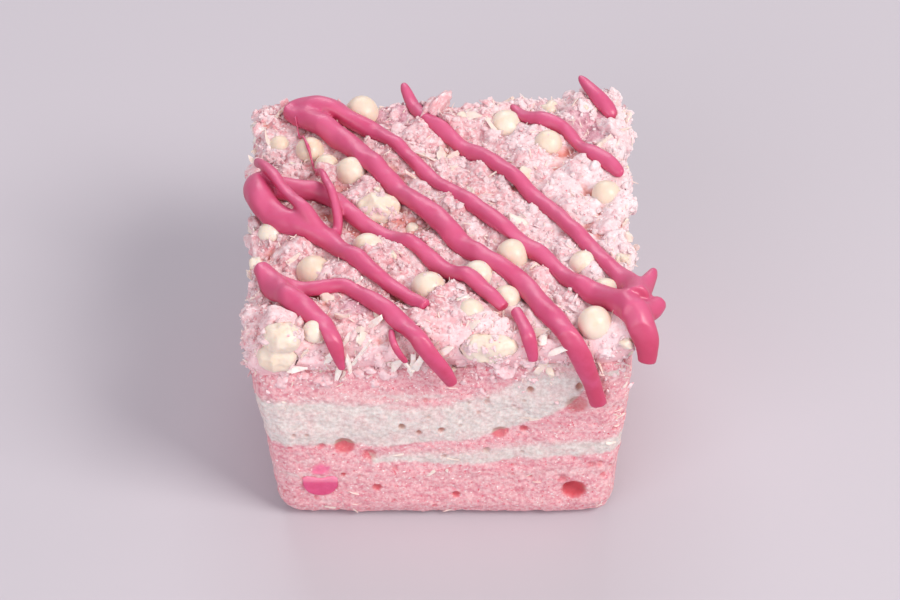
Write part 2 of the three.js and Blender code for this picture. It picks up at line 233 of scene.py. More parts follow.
# The cut front gets a finer mesh.
shape = bmesh.new()
shape.from_mesh(foam.data)
front_ends = foam_low.y + FRONT_DEEP
in_front = [face.normal.y < -0.3 and face.calc_center_median().y < front_ends for face in shape.faces]
front_edges = [edge for edge in shape.edges if any(in_front[face.index] for face in edge.link_faces)]
bmesh.ops.subdivide_edges(shape, edges=front_edges, cuts=1, use_grid_fill=True)
shape.to_mesh(foam.data)
shape.free()

# Air bubbles that the front's cut opened: across, up, how wide, how deep, and how strong the shade painted
# inside is. The first five are hollows in the solids already, so only their shade is painted here.
FRONT_BUBBLES = (
    (22.2, 7.6, 4.4, 0, 1.0),
    (-18.7, 19.0, 3.6, 0, 0.85),
    (-14.3, 16.8, 2.6, 0, 0.6),
    (8.8, 22.2, 2.8, 0, 0.75),
    (22.2, 29.6, 4.0, 0, 0.6),
    (13.0, 23.0, 1.6, 0.6, 0.8),
    (-13.0, 8.9, 1.7, 0.6, 0.9),
    (1.1, 6.6, 1.5, 0.7, 0.9),
    (-19.0, 12.0, 1.0, 0.4, 1.0),
    (-8.5, 24.0, 1.2, 0.6, 0.9),
    (-5.5, 22.5, 1.1, 0.5, 0.9),
    (-1.5, 23.0, 1.2, 0.5, 0.9),
    (14.0, 33.0, 1.2, 0.6, 1.0),
    (22.5, 34.0, 1.3, 0.6, 1.0),
    (6.5, 30.0, 1.0, 0.3, 0.5),
)
OTHER_BUBBLES = 110  # small ones on all sides, about 0.7 mm wide
OTHERS_BELOW = 36 * MM

points = points_of(foam.data)
normals = normals_of(foam.data)
bubble_shade = np.zeros(len(points))
sunk = np.zeros(len(points))
front = points[:, 1] < foam_low.y + FRONT_DEEP + FOAM_SKIN


def open_bubble(away, depth, shade_strength, crisp, blurred):
    """Sinks a bowl where the distance from its middle, in radii, is under 1, and paints shade into it. The
    painted shade fades from crisp to blurred, which are such distances too."""
    inside = away < blurred
    bowl = np.sqrt(np.clip(1 - away[inside] ** 2, 0, 1))
    red = shade_strength * (1 - smoothstep(crisp, blurred, away[inside]))
    sunk[inside] = np.maximum(sunk[inside], depth * bowl)
    bubble_shade[inside] = np.maximum(bubble_shade[inside], red)


for across, up, width, depth, shade_strength in FRONT_BUBBLES:
    away = np.hypot(points[:, 0] - across * MM, points[:, 2] - up * MM) / (width / 2 * MM)
    open_bubble(np.where(front, away, np.inf), depth * MM, shade_strength, 0.75, 1.2)
upright = np.flatnonzero((np.abs(normals[:, 2]) < 0.5) & (points[:, 2] < OTHERS_BELOW))
for centre in randoms.choice(upright, OTHER_BUBBLES):
    radius = randoms.lognormal(-1.0, 0.35) * MM
    away = np.linalg.norm(points - points[centre], axis=1) / radius
    open_bubble(away, 0.5 * radius, 0.55, 0.5, 1.3)

# The cut face is uneven at every size, down to the pores of the foam.
pores, pore_number = clots(points, 1.1 * MM, 3)
relief = relief_of(points, (0.3, 9, 1), (0.18, 2.6, 2), (0.11, 1.2, 4), (0.09, 0.6, 5))
relief -= 0.16 * (1 - smoothstep(0.1, 0.35, pores)) * (pore_number > 0.4)
points += normals * (relief * MM - sunk)[:, None]
points[:, 2] = np.maximum(points[:, 2], 0)
above_slope = points[:, 2] - points[:, 0] * SEAM_RISE
points[:, 2] += INTO_TOPPING * smoothstep(foam_high.z - EDGE_BAND, foam_high.z, above_slope)
move_points(foam.data, points)

# Where the foam is white: inside the two swirls, a little under the skin. Their lower edges are crisp, and
# their upper ones feather out into the pink.
UNDER_SKIN = 2.5 * MM
EDGES_WANDER = 0.8 * MM
WHITE_REACHES = 0.3 * MM  # past the surface of a swirl
SEARCHED = 3 * MM  # what is further from a swirl than this is pink
CRISP_EDGE = 0.45 * MM
FEATHERED_EDGE = 1.3 * MM


def whiteness(node, places):
    """How white the foam is at some places, from 0 to 1, by their distance from a swirl's surface."""
    shape = bmesh.new()
    shape.from_mesh(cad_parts[node].data)
    tree = BVHTree.FromBMesh(shape)
    shape.free()
    white = np.zeros(len(places))
    for i, place in enumerate(places):
        found, face_normal, _, distance = tree.find_nearest(place, SEARCHED)
        if found is not None:
            outside = distance if (Vector(place) - found).dot(face_normal) > 0 else -distance
            feather = FEATHERED_EDGE if face_normal.z > 0.3 else CRISP_EDGE
            white[i] = (WHITE_REACHES - outside) / feather * 0.5 + 0.5
    return smoothstep(0, 1, white)


wander = [relief_of(points, (0.5, 4, seed), (0.5, 1.3, seed + 9)) for seed in (21, 22, 23)]
places = points - normals * UNDER_SKIN + np.stack(wander, 1) * EDGES_WANDER
swirl = np.maximum(whiteness("foam_white_broad", places), whiteness("foam_white_thin", places))

# Thin streaks of white lie level in all of the foam, as it was poured.
flow = waves(points * (0.1, 0.1, 1), 1.6 * MM, 31) * 0.6 + waves(points * (0.3, 0.3, 1), 1.1 * MM, 32) * 0.4
layers = smoothstep(0.1, 0.9, waves(points * (0.08, 0.08, 1), 3.2 * MM, 35))
swirl = swirl * (0.9 + 0.25 * waves(points, 2 * MM, 33)) + 0.5 * smoothstep(0.15, 0.9, flow) + 0.3 * layers
paint(foam.data, "swirl", np.clip(swirl, 0, 1))
paint(foam.data, "bubble_shade", bubble_shade)

# Colour from the candy drop bled into the foam above it.
STAIN_ACROSS, STAIN_UP = -22.9, 13.2
STAIN_WIDE, STAIN_HIGH = 1.7, 1.6
stain_x = (points[:, 0] / MM - STAIN_ACROSS) / STAIN_WIDE
stain_z = (points[:, 2] / MM - STAIN_UP) / STAIN_HIGH
from_stain = np.hypot(stain_x, stain_z) + 0.3 * waves(points, 1 * MM, 34)
paint(foam.data, "stain", front * (1 - smoothstep(0.5, 1.3, from_stain)))
foam.data.shade_smooth()


def linear(hex_colour):
    """A colour as the renderer takes it, from its sRGB hex value."""
    channels = [int(hex_colour[i : i + 2], 16) / 255 for i in (1, 3, 5)]
    return (*(c / 12.92 if c <= 0.04045 else ((c + 0.055) / 1.055) ** 2.4 for c in channels), 1)


def add(finish, kind, output, inputs=(), **settings):
    """Adds a node with its settings, sets or links its inputs by name, and returns the output named."""
    node = finish.node_tree.nodes.new(kind)
    for name, value in settings.items():
        setattr(node, name, value)
    for name, value in dict(inputs).items():
        socket = next(socket for socket in node.inputs if socket.enabled and socket.name == name)
        if isinstance(value, bpy.types.NodeSocket):
            finish.node_tree.links.new(value, socket)
        else:
            socket.default_value = linear(value) if isinstance(value, str) else value
    return next(socket for socket in node.outputs if socket.enabled and socket.name == output)


def new_finish(name, **shader_inputs):
    """A material, with the given inputs set on its shader, and the place on the object for its patterns."""
    finish = bpy.data.materials.new(name)
    finish.use_nodes = True
    for socket, value in shader_inputs.items():
        finish.node_tree.nodes["Principled BSDF"].inputs[socket.replace("_", " ")].default_value = value
    return finish, add(finish, "ShaderNodeTexCoord", "Object")


def feed(finish, socket, source):
    """Links what a node gives to the shader."""
    finish.node_tree.links.new(source, finish.node_tree.nodes["Principled BSDF"].inputs[socket])


def laid_over(finish, under, over, pattern, start=0, full=1):
    """One colour over another: none of it where a pattern is at start, and all of it where it is full."""
    limits = {"Value": pattern, "From Min": start, "From Max": full}
    share = add(finish, "ShaderNodeMapRange", "Result", limits)
    return add(finish, "ShaderNodeMix", "Result", {"Factor": share, "A": under, "B": over}, data_type="RGBA")


def speckled(finish, under, over, place, size, detail=3, start=0.0, full=1.0):
    """One colour over another in soft random blots of a real size."""
    blots = {"Vector": place, "Scale": 1 / size, "Detail": detail, "Roughness": 0.6}
    return laid_over(finish, under, over, add(finish, "ShaderNodeTexNoise", "Fac", blots), start, full)


def painted(finish, under, over, name, start=0, full=1):
    """One colour over another where the mesh is painted."""
    pattern = add(finish, "ShaderNodeAttribute", "Fac", attribute_name=name)
    return laid_over(finish, under, over, pattern, start, full)


def roughen(finish, place, size, detail, depth, strength):
    """Relief that is too fine for the mesh, as deep as it really is."""
    blots = {"Vector": place, "Scale": 1 / size, "Detail": detail, "Roughness": 0.6}
    height = add(finish, "ShaderNodeTexNoise", "Fac", blots)
    bump = {"Height": height, "Distance": depth, "Strength": strength}
    feed(finish, "Normal", add(finish, "ShaderNodeBump", "Normal", bump))


# Set sugar foam is matt and lets light in, so its shadows are soft and warm. The red of its pores and the
# white of its sugar are finer than a millimetre.
foam_finish, place = new_finish(
    "set_marshmallow_foam",
    Roughness=0.8,
    Subsurface_Weight=0.3,
    Subsurface_Radius=(1, 0.45, 0.4),
    Subsurface_Scale=0.8 * MM,
    IOR=1.4,
)
pink = speckled(foam_finish, "#d88191", "#e69da9", place, 5 * MM, 3, 0.3, 0.7)
pink = speckled(foam_finish, pink, "#f1c7cb", place, 0.7 * MM, 4, 0.36, 0.64)
pink = speckled(foam_finish, pink, "#dd6074", place, 0.6 * MM, 2, 0.62, 0.72)
pink = speckled(foam_finish, pink, "#fff6f4", place, 0.5 * MM, 2, 0.63, 0.7)
white = speckled(foam_finish, "#d4c7c3", "#ece4e1", place, 0.7 * MM, 4, 0.36, 0.64)
colour = painted(foam_finish, pink, white, "swirl")
colour = painted(foam_finish, colour, "#f07ba0", "stain")
# Painted shade inside the opened bubbles: darker red in the pink, brownish in the white.
bubble_shade_colour = painted(foam_finish, "#d35b67", "#b98e80", "swirl")
colour = painted(foam_finish, colour, bubble_shade_colour, "bubble_shade")
feed(foam_finish, "Base Color", colour)
roughen(foam_finish, place, 0.45 * MM, 4, depth=0.2 * MM, strength=0.7)
foam.data.materials.append(foam_finish)

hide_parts(*FOAM_NODES)
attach(foam, "root")

# --- The crumb topping --------------------------------------------------------------------------------
# Crushed dry marshmallow, coconut and white chocolate, pressed onto the foam while it is wet. It clots into
# lumps, pale pink and white on top, with painted warm shade deep between them.

TOPPING_SKIN = 0.3 * MM
UNDERSIDE = 40 * MM  # what faces down below this lies on the foam
TUCKED_HEIGHT = 5 * MM  # up to here above the seam, the crumb sinks into the foam's side
TUCKED_SHARE = 0.05

# Its lumps, chips and crumbs: how far apart they are, and how high they stand in millimetres.
LUMP_SPACING, LUMP_HEIGHT = 6.5 * MM, 2.6
CHIP_SPACING, CHIP_HEIGHT = 3.0 * MM, 1.2
CRUMB_SPACING, CRUMB_HEIGHT = 1.2 * MM, 0.4
OUTLINES_BENT = 1.1 * MM

# Lumps of a duskier pink under a dusting of sugar: across, back, and how far they reach.
DUSKY_LUMPS = ((24.9, 24.1, 4.6), (-10.8, 29.3, 3.4), (-16, -22.5, 3))

topping = cast_of("crumb_topping_bed", ("crumb_topping",), grown=0.2 * MM, skin=TOPPING_SKIN, softening=4)
topping_low, topping_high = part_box("crumb_topping")
flatten(topping.data, lambda face: face.normal.z < -0.9 and face.calc_center_median().z < UNDERSIDE)


def heave(points):
    """How far the lumps of the topping raise what is above them. It doesn't change with height."""
    return MM * relief_of(points * (1, 1, 0), (0.8, 9, 41), (0.5, 4.5, 42))


points = points_of(topping.data)
normals = normals_of(topping.data)
above_seam = points[:, 2] - topping_low.z - (points[:, 0] - topping_low.x) * SEAM_RISE
tucked_in = 1 - smoothstep(0, TUCKED_HEIGHT, above_seam)
points[:, :2] *= (1 - TUCKED_SHARE * tucked_in)[:, None]
points[:, 2] += heave(points) * smoothstep(3 * MM, 8 * MM, above_seam)
warp = np.stack([waves(points, 3.5 * MM, seed) for seed in (43, 44, 45)], 1)
warped = points + warp * OUTLINES_BENT
lump, lump_number = clots(warped, LUMP_SPACING, 50)
chip, chip_number = clots(warped, CHIP_SPACING, 51)
crumb, crumb_number = clots(points, CRUMB_SPACING, 52)
relief = LUMP_HEIGHT * (0.6 - lump) + CHIP_HEIGHT * (0.55 - chip) + CRUMB_HEIGHT * (0.5 - crumb)
relief = relief + 0.16 * waves(points, 0.7 * MM, 53) - 0.3
relief *= 1 - 0.65 * tucked_in
relief *= 1 - 0.75 * smoothstep(0.4, 0.8, -normals[:, 1])  # the knife cut the front nearly flat
swell(topping.data, points, relief)
# Painted shade: the deeper a point lies in the hollows of the crumb, the more warm shade is painted there.
paint(topping.data, "depth", 1 - smoothstep(-1.6, 0.1, relief))
paint(topping.data, "tone", lump_number * 0.45 + chip_number * 0.35 + crumb_number * 0.2)

# The foam is damp, and colours the crumb that lies next to it. Its pink there is also painted light: it is
# made lighter, for the dimmer sides and cut front.
damp_tint_and_painted_light = 1 - smoothstep(0.5 * MM, 7 * MM, above_seam + 1.6 * MM * waves(points, 3 * MM, 54))
paint(topping.data, "damp_tint_and_painted_light", damp_tint_and_painted_light)

dusk = np.zeros(len(points))
for x, y, radius in DUSKY_LUMPS:
    away = np.hypot(points[:, 0] - x * MM, points[:, 1] - y * MM) / (radius * MM)
    dusk = np.maximum(dusk, 1 - smoothstep(0.7, 1.1, away + 0.25 * waves(points, 2 * MM, 55)))
paint(topping.data, "dusk", dusk)
topping.data.shade_smooth()

# Dry crumb is matt and as open as snow: it scatters light deep into itself, so its hollows glow warm; that
# glow and their shade are painted into its colour. Light is painted in too: it is whiter towards the right,
# where the key lamp falls, and paler on the cut front, which gets less light.
crumb_finish, place = new_finish(
    "dry_marshmallow_crumb",
    Roughness=0.85,
    Subsurface_Weight=0.4,
    Subsurface_Radius=(1, 0.88, 0.84),
    Subsurface_Scale=0.6 * MM,
    IOR=1.4,
)
across = add(crumb_finish, "ShaderNodeSeparateXYZ", "X", {"Vector": place})
back = add(crumb_finish, "ShaderNodeSeparateXYZ", "Y", {"Vector": place})
colour = painted(crumb_finish, "#d9969f", "#eac7cc", "tone", 0.3, 0.75)
colour = speckled(crumb_finish, colour, "#f4e3e7", place, 0.9 * MM, 4, 0.42, 0.66)
# Painted light: whiter towards the right, where the key lamp falls.
colour = laid_over(crumb_finish, colour, "#fff4f8", across, -5 * MM, 70 * MM)
# Painted light: paler towards the cut front, which gets less light than the top.
colour = laid_over(crumb_finish, colour, "#ffdade", back, -24 * MM, -38 * MM)
colour = speckled(crumb_finish, colour, "#ea8f9c", place, 0.6 * MM, 2, 0.62, 0.74)
dusky = speckled(crumb_finish, "#cc93a3", "#ecc9d2", place, 0.9 * MM, 4, 0.42, 0.66)
colour = painted(crumb_finish, colour, dusky, "dusk")
# Painted shade and glow in the hollows between the lumps.
colour = painted(crumb_finish, colour, "#e08b80", "depth", 0.4, 1)
# Partly painted light: the damp pink next to the foam, made lighter for the dimmer sides and cut front.
colour = painted(crumb_finish, colour, "#fbc4ca", "damp_tint_and_painted_light")
feed(crumb_finish, "Base Color", colour)
roughen(crumb_finish, place, 0.4 * MM, 4, depth=0.2 * MM, strength=0.7)
topping.data.materials.append(crumb_finish)

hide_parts("crumb_topping")
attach(topping, "root")

# --- The pearls ---------------------------------------------------------------------------------------
# Crisp cereal balls in a shell of white chocolate, tumbled until they are round, and dropped into the crumb
# so that they sit half sunk in it. Each is a little out of round and has its own shade of ivory.

PEARL_SIZE = 1.1  # times as wide as the dome that stands out of the crumb in the solids

# White chocolate is cocoa butter and milk: ivory, satin, and a little see-through at its edges.
chocolate_finish, place = new_finish(
    "white_chocolate_shell",
    Roughness=0.34,
    Subsurface_Weight=0.4,
    Subsurface_Radius=(1, 0.7, 0.45),
    Subsurface_Scale=1.5 * MM,
    IOR=1.45,
)
colour = painted(chocolate_finish, "#e8d6c4", "#f2e5d8", "tone")
colour = speckled(chocolate_finish, colour, "#ead3bd", place, 2.5 * MM, 3, 0.5, 0.75)
feed(chocolate_finish, "Base Color", colour)
roughen(chocolate_finish, place, 0.9 * MM, 3, depth=0.08 * MM, strength=0.5)

pearl_nodes = sorted(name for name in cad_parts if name.startswith("pearl_"))
pearls = []
for number, node in enumerate(pearl_nodes):
    low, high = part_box(node)
    radius = max(high.x - low.x, high.y - low.y) / 2 * PEARL_SIZE
    centre = np.array(((low.x + high.x) / 2, (low.y + high.y) / 2, high.z - radius))
    centre[2] += heave(centre[None])[0]
    shape = bmesh.new()
    bmesh.ops.create_icosphere(shape, subdivisions=4, radius=radius)
    ball = bpy.data.meshes.new(f"white_chocolate_{node}")
    shape.to_mesh(ball)
    shape.free()
    round_points = points_of(ball)
    uneven = 1 + 0.035 * waves(round_points, 3.2 * MM, 60 + number)
    uneven += 0.012 * waves(round_points, 1.1 * MM, 90 + number)
    move_points(ball, round_points * uneven[:, None] + centre)
    ball.shade_smooth()
    paint(ball, "tone", np.full(len(ball.vertices), randoms.random()))
    ball.materials.append(chocolate_finish)
    pearl = bpy.data.objects.new(ball.name, ball)
    bpy.context.scene.collection.objects.link(pearl)
    pearls.append(pearl)
    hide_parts(node)
    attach(pearl, "root")

# --- The lumps of white chocolate ---------------------------------------------------------------------
# Broken pieces of white chocolate in the crumb, hollow between blunt ridges. The cut went past two of them,
# and one lies flat on top.

CHUNK_TONE = 0.5
TOP_CHUNK_SINKS = 1 * MM

chunks = []
for number, node in enumerate(("chunk_left", "chunk_middle", "chunk_top")):
    name = f"white_chocolate_{node}"
    chunk = cast_of(name, (node,), grown=0.35 * MM, skin=0.25 * MM, softening=10)
    points = points_of(chunk.data)
    if node == "chunk_top":
        points[:, 2] += heave(points) - TOP_CHUNK_SINKS
    relief = 0.28 - 0.85 * np.abs(waves(points, 4 * MM, 120 + number))
    relief -= 0.25 * np.abs(waves(points, 1.8 * MM, 130 + number))
    relief += 0.1 * waves(points, 0.8 * MM, 133)
    swell(chunk.data, points, relief)
    chunk.data.shade_smooth()
    paint(chunk.data, "tone", np.full(len(points), CHUNK_TONE))
    chunk.data.materials.append(chocolate_finish)
    chunks.append(chunk)
    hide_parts(node)
    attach(chunk, "root")

# --- The candy drizzle --------------------------------------------------------------------------------
# Melted pink candy coating, flicked to and fro over the topping from a spoon. Its strands set smooth and
# domed, run into each other where they cross, and hang over the edges of the square.

DRIZZLE_NODES = sorted(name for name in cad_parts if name.startswith("drizzle_"))
DRIZZLE_SKIN = 0.3 * MM
SOAK = 0.8 * MM  # how far the candy settles between the crumbs
LEVEL_FROM = 4 * MM  # further than this from the topping's edge, a strand rises and falls with the crumb
FLATTENED = 0.4  # the share of its thickness that a strand loses where it hangs against the front

# Candy coating is coloured palm fat and sugar. It sets with a soft gloss and a slightly rippled skin. Its
# colour is painted light: paler where it faces up to the lamps, and deeper red on its shaded sides.
candy_finish, place = new_finish(
    "pink_candy_coating",
    Roughness=0.38,
    Subsurface_Weight=0.06,
    Subsurface_Scale=1.2 * MM,
    Specular_IOR_Level=0.8,
    IOR=1.46,
)
looks = add(candy_finish, "ShaderNodeNewGeometry", "Normal")
painted_light_from_above = add(candy_finish, "ShaderNodeSeparateXYZ", "Z", {"Vector": looks})
# Painted light: paler where the candy faces up, deeper red where it faces sideways or down.
colour = laid_over(candy_finish, "#c1365f", "#d75f8a", painted_light_from_above, 0.1, 0.95)
colour = speckled(candy_finish, colour, "#cf4b7a", place, 5 * MM, 3, 0.45, 0.75)
feed(candy_finish, "Base Color", colour)
roughen(candy_finish, place, 1.4 * MM, 2, depth=0.06 * MM, strength=0.5)

drizzles = []
for node in DRIZZLE_NODES:
    name = f"candy_{node}"
    drizzle = cast_of(name, (node,), grown=0.32 * MM, skin=DRIZZLE_SKIN, softening=10, rounding=2)
    points = points_of(drizzle.data)
    from_edges = np.minimum(points - np.array(topping_low), np.array(topping_high) - points)[:, :2]
    points[:, 2] += smoothstep(0, LEVEL_FROM, from_edges.min(axis=1)) * (heave(points) - SOAK)
    past_front = np.minimum(points[:, 1] - topping_low.y, 0)
    points[:, 1] -= FLATTENED * past_front
    swell(drizzle.data, points, relief_of(points, (0.12, 4, 140), (0.04, 1.6, 141)))
    drizzle.data.shade_smooth()
    drizzle.data.materials.append(candy_finish)
    drizzles.append(drizzle)
    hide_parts(node)
    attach(drizzle, "root")

# A hair of candy was drawn out as the spoon left the turn at the back. It lies across the pearls and the
# crumb, and thickens where it reaches the loop on the left.
HAIR_ROUTE = ((-24.1, 12.6), (-24.7, 15.6), (-25.8, 18.3), (-26.7, 21.1), (-27.6, 24.3), (-28.4, 26.8))
HAIR_RADIUS = 0.32 * MM
HAIR_SIDES = 8
HAIR_STEPS = 60
HAIR_SPAN = 3  # it hangs level over hollows that are up to twice as many steps long
HAIR_SMOOTHING = 9  # steps that its height is averaged over


def tree_of(pieces):
    shape = bmesh.new()
    for piece in pieces:
        shape.from_mesh(piece.data)
    tree = BVHTree.FromBMesh(shape)
    shape.free()
    return tree


under = tree_of([topping, *pearls, *drizzles])
along = np.linspace(0, 1, HAIR_STEPS)
corners = np.linspace(0, 1, len(HAIR_ROUTE))
plan = [np.interp(along, corners, numbers) * MM for numbers in zip(*HAIR_ROUTE)]
middles = np.stack([*plan, along * 0], 1)
above_all = topping_high.z + 10 * MM
heights = [under.ray_cast((x, y, above_all), (0, 0, -1))[0].z for x, y, _ in middles]
taut = [max(heights[max(i - HAIR_SPAN, 0) : i + HAIR_SPAN + 1]) for i in range(HAIR_STEPS)]
padded = np.pad(taut, HAIR_SMOOTHING // 2, mode="edge")
smoothed = np.convolve(padded, np.full(HAIR_SMOOTHING, 1 / HAIR_SMOOTHING), mode="valid")
middles[:, 2] = smoothed + HAIR_RADIUS * 0.5
tangents = np.gradient(middles, axis=0)
tangents /= np.linalg.norm(tangents, axis=1)[:, None]
aside = np.cross(tangents, (0, 0, 1))
over = np.cross(aside, tangents)
turn = np.arange(HAIR_SIDES) / HAIR_SIDES * 2 * math.pi
radii = HAIR_RADIUS * (1 + 0.25 * np.cos(along * 17) - 0.25 * along)
rings = [
    tuple(middle + radius * (np.cos(angle) * a + np.sin(angle) * o))
    for middle, radius, a, o in zip(middles, radii, aside, over)
    for angle in turn
]
walls = []
for step in range(HAIR_STEPS - 1):
    first, second = HAIR_SIDES * step, HAIR_SIDES * (step + 1)
    for i in range(HAIR_SIDES):
        j = (i + 1) % HAIR_SIDES
        walls.append((first + i, first + j, second + j, second + i))
last = HAIR_SIDES * (HAIR_STEPS - 1)
caps = [tuple(range(HAIR_SIDES))[::-1], tuple(range(last, last + HAIR_SIDES))]
hair_mesh = bpy.data.meshes.new("candy_hair")
hair_mesh.from_pydata(rings, [], walls + caps)
hair_mesh.shade_smooth()
hair_mesh.materials.append(candy_finish)
hair = bpy.data.objects.new("candy_hair", hair_mesh)
bpy.context.scene.collection.objects.link(hair)
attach(hair, "root")

# The candy presses down the crumb that it lies on.
PRESSED_ABOVE = 4 * MM  # over the topping's lowest point
PRESSED_DEPTH = 3 * MM
poured_tree = tree_of(drizzles)
points = points_of(topping.data)
for i in np.flatnonzero(points[:, 2] > topping_low.z + PRESSED_ABOVE):
    x, y, z = points[i]
    underside, _, _, _ = poured_tree.ray_cast((x, y, z - PRESSED_DEPTH), (0, 0, 1), PRESSED_DEPTH + 1 * MM)
    if underside is not None and underside.z < z:
        points[i, 2] = underside.z
move_points(topping.data, points)

# --- The candy drop -----------------------------------------------------------------------------------
# A small pink candy drop that was stirred into the foam. The knife halved it, and its cut face lies in the
# front.

RIM_STARTS = 1.5 * MM  # below the drop's upper edge
RIM_FULL = 0.6 * MM

# Pressed candy is denser than the drizzle. It is paler along its upper edge.
drop_finish, place = new_finish(
    "pink_pressed_candy",
    Roughness=0.4,
    Subsurface_Weight=0.2,
    Subsurface_Scale=1.0 * MM,
    IOR=1.46,
)
colour = speckled(drop_finish, "#d64a7c", "#e25f8e", place, 1.5 * MM, 3, 0.3, 0.7)
colour = painted(drop_finish, colour, "#f08cab", "rim")
feed(drop_finish, "Base Color", colour)

drop = cast_of("pink_candy_drop", ("candy_drop",), grown=0.25 * MM, skin=0.15 * MM, softening=3)
drop_low, drop_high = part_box("candy_drop")
points = points_of(drop.data)
swell(drop.data, points, relief_of(points, (0.05, 1.2, 150)))
paint(drop.data, "rim", smoothstep(drop_high.z - RIM_STARTS, drop_high.z - RIM_FULL, points[:, 2]))
drop.data.shade_smooth()
drop.data.materials.append(drop_finish)
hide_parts("candy_drop")
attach(drop, "root")

# --- The loose crumbs and flakes ----------------------------------------------------------------------
# The bits of the topping that stand free: lumps, chips and crumbs, and thin flakes that stick out and catch
# the light. They lie on the bed of crumb, and thin out down the sides of the foam just below it.

KNIFE_LEFT = 3.2 * MM  # across the largest bits that the knife left standing out of the sides


def spots_on(pieces, count):
    """Random places on the faces of some pieces, evenly spread, with the way each face looks."""
    corners = []
    for piece in pieces:
        piece.data.calc_loop_triangles()
        triangles = np.empty(len(piece.data.loop_triangles) * 3, np.int32)
        piece.data.loop_triangles.foreach_get("vertices", triangles)
        corners.append(points_of(piece.data)[triangles.reshape(-1, 3)])
    corners = np.concatenate(corners)
    across = np.cross(corners[:, 1] - corners[:, 0], corners[:, 2] - corners[:, 0])
    areas = np.linalg.norm(across, axis=1)
    chosen = randoms.choice(len(corners), count, p=areas / areas.sum())
    first, second = randoms.random((2, count, 1))
    first, second = np.where(first + second > 1, (1 - first, 1 - second), (first, second))
    a, b, c = corners[chosen].transpose(1, 0, 2)
    return a + (b - a) * first + (c - a) * second, across[chosen] / areas[chosen, None]


def turned(directions):
    """A turn for each direction that takes Z to it, spun at random."""
    z = directions / np.linalg.norm(directions, axis=1)[:, None]
    x = np.cross(z, randoms.normal(size=z.shape))
    x /= np.linalg.norm(x, axis=1)[:, None]
    return np.stack([x, np.cross(z, x), z], axis=2)


def strew(forms, faces, spots, turns, sizes):
    """Places one of some forms on each spot. Returns all vertices and all faces."""
    form = forms[randoms.integers(len(forms), size=len(spots))]
    vertices = np.einsum("nij,nvj->nvi", turns, form * sizes[:, None, :]) + spots[:, None, :]
    numbers = faces[None] + (np.arange(len(spots)) * forms.shape[1])[:, None, None]
    return vertices.reshape(-1, 3), numbers.reshape(-1, faces.shape[1])


def joined(name, batches, tones, finish):
    """One piece from batches of strewn bits, with a tone for each vertex or one for all."""
    vertices = np.concatenate([batch[0] for batch in batches])
    start = np.cumsum([0] + [len(batch[0]) for batch in batches[:-1]])
    faces = np.concatenate([batch[1] + first for batch, first in zip(batches, start)])
    mesh = bpy.data.meshes.new(name)
    mesh.from_pydata(vertices.tolist(), [], faces.tolist())
    paint(mesh, "tone", np.broadcast_to(tones, len(vertices)))
    mesh.materials.append(finish)
    piece = bpy.data.objects.new(name, mesh)
    bpy.context.scene.collection.objects.link(piece)
    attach(piece, "root")
    return piece


def lumpy_balls(subdivisions, kinds, unevenness, wave):
    """Some irregular balls, 1 across, and the faces that they share."""
    shape = bmesh.new()
    bmesh.ops.create_icosphere(shape, subdivisions=subdivisions, radius=0.5)
    ball = np.array([vert.co for vert in shape.verts])
    faces = np.array([[vert.index for vert in face.verts] for face in shape.faces])
    shape.free()
    bumps = [waves(ball, wave, 200 + i) + 0.5 * waves(ball, wave / 2, 300 + i) for i in range(kinds)]
    return ball[None] * (1 + unevenness * np.array(bumps))[:, :, None], faces


# Candy and pearls are kept clear: a bit that would stand inside one is left out.
cover_tree = tree_of(drizzles + pearls + chunks[:2])


def is_clear(spot, normal, room):
    middle = Vector(spot + normal * room * 0.5)
    found, face_normal, _, away = cover_tree.find_nearest(middle, 2 * room)
    return found is None or (away > 0.7 * room and (middle - found).dot(face_normal) > 0)


def clear_spots(count, room, spill):
    """Places on the topping, and on the foam's sides below it: the further down, the fewer."""
    spots, normals = spots_on([topping, foam], count * 2)
    kept = np.array([is_clear(spot, normal, room) for spot, normal in zip(spots, normals)])
    seam = topping_low.z + (spots[:, 0] - topping_low.x) * SEAM_RISE
    kept &= (spots[:, 2] > seam - randoms.exponential(spill, len(spots))) & (normals[:, 2] > -0.8)
    kept = np.flatnonzero(kept)[:count]
    return spots[kept], normals[kept]


def add_bits(name, forms, finish, count, size, spread, flatness, sink, spill, smooth=True):
    """One piece of many bits of one form, each with its own size, turn and tone. Of its thickness, each
    sinks a share into what it lies on."""
    shapes, faces = forms
    spots, normals = clear_spots(count, size / 2, spill)
    sizes = size * randoms.lognormal(0, spread, (len(spots), 1)) * randoms.uniform(0.75, 1.3, (len(spots), 3))
    sizes[:, 2] *= flatness
    sizes = np.where(normals[:, 2:] < 0.3, np.minimum(sizes, KNIFE_LEFT), sizes)
    spots -= normals * sizes[:, 2:] * sink
    tilt = min(0.5, 1 * MM / size)  # large bits lie flat, and small ones every way
    directions = normals + randoms.normal(size=spots.shape) * tilt
    batch = strew(shapes, faces, spots, turned(directions), sizes)
    tones = np.repeat(0.25 + 0.75 * randoms.random(len(spots)), shapes.shape[1])
    bits = joined(name, (batch,), tones, finish)
    if smooth:
        bits.data.shade_smooth()


